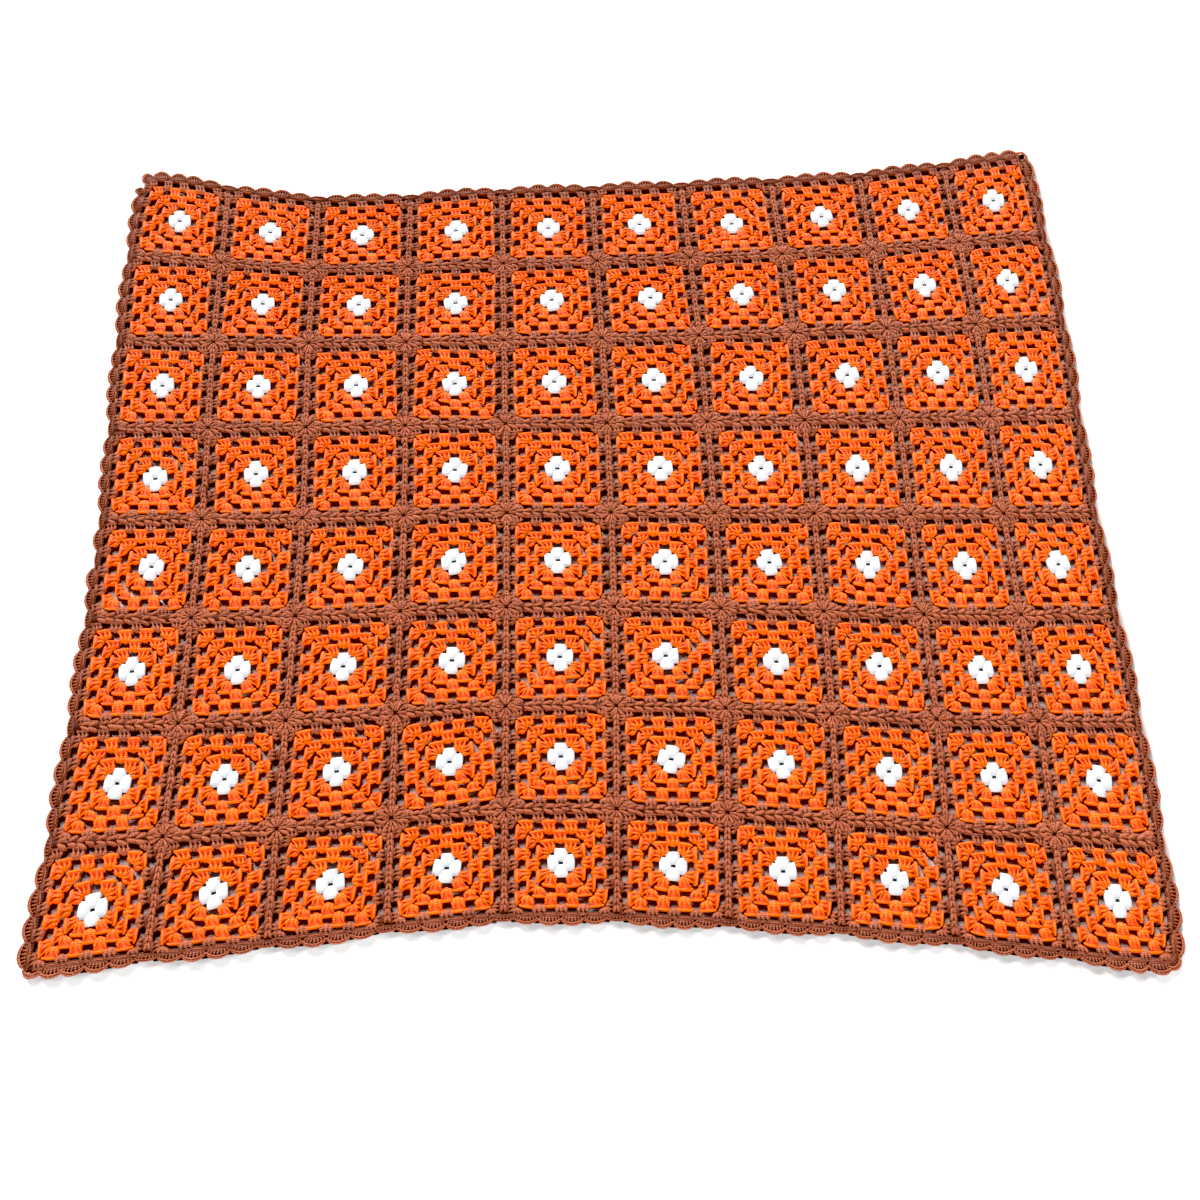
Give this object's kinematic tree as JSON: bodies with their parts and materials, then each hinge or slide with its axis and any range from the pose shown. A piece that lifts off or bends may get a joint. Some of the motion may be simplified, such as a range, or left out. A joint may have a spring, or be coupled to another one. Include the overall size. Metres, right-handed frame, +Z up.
{
  "type": "granny square blanket",
  "caption": "Flat crocheted blanket of joined granny squares with middle flowers, raised seams and a scalloped shell edging.",
  "frame": {"origin": "middle of the blanket's outline, on the surface it lies on", "axes": "+X along the ten squares of a strip, +Y across the strips towards strip_1, +Z up out of the face with the raised seams"},
  "size_m": [1.3335, 1.1975, 0.0076],
  "materials": {
    "orange_yarn": "soft matt yarn with a slight sheen",
    "brown_yarn": "soft matt yarn",
    "white_yarn": "soft matt yarn with a slight sheen"
  },
  "bodies": {
    "root": {"strip_1": "orange_yarn", "strip_2": "orange_yarn", "strip_3": "orange_yarn", "strip_4": "orange_yarn", "strip_5": "orange_yarn", "strip_6": "orange_yarn", "strip_7": "orange_yarn", "strip_8": "orange_yarn", "row_seam_1": "brown_yarn", "row_seam_2": "brown_yarn", "row_seam_3": "brown_yarn", "row_seam_4": "brown_yarn", "row_seam_5": "brown_yarn", "row_seam_6": "brown_yarn", "row_seam_7": "brown_yarn", "edging_far": "brown_yarn", "edging_near": "brown_yarn", "edging_left": "brown_yarn", "edging_right": "brown_yarn"}
  },
  "joints": []
}
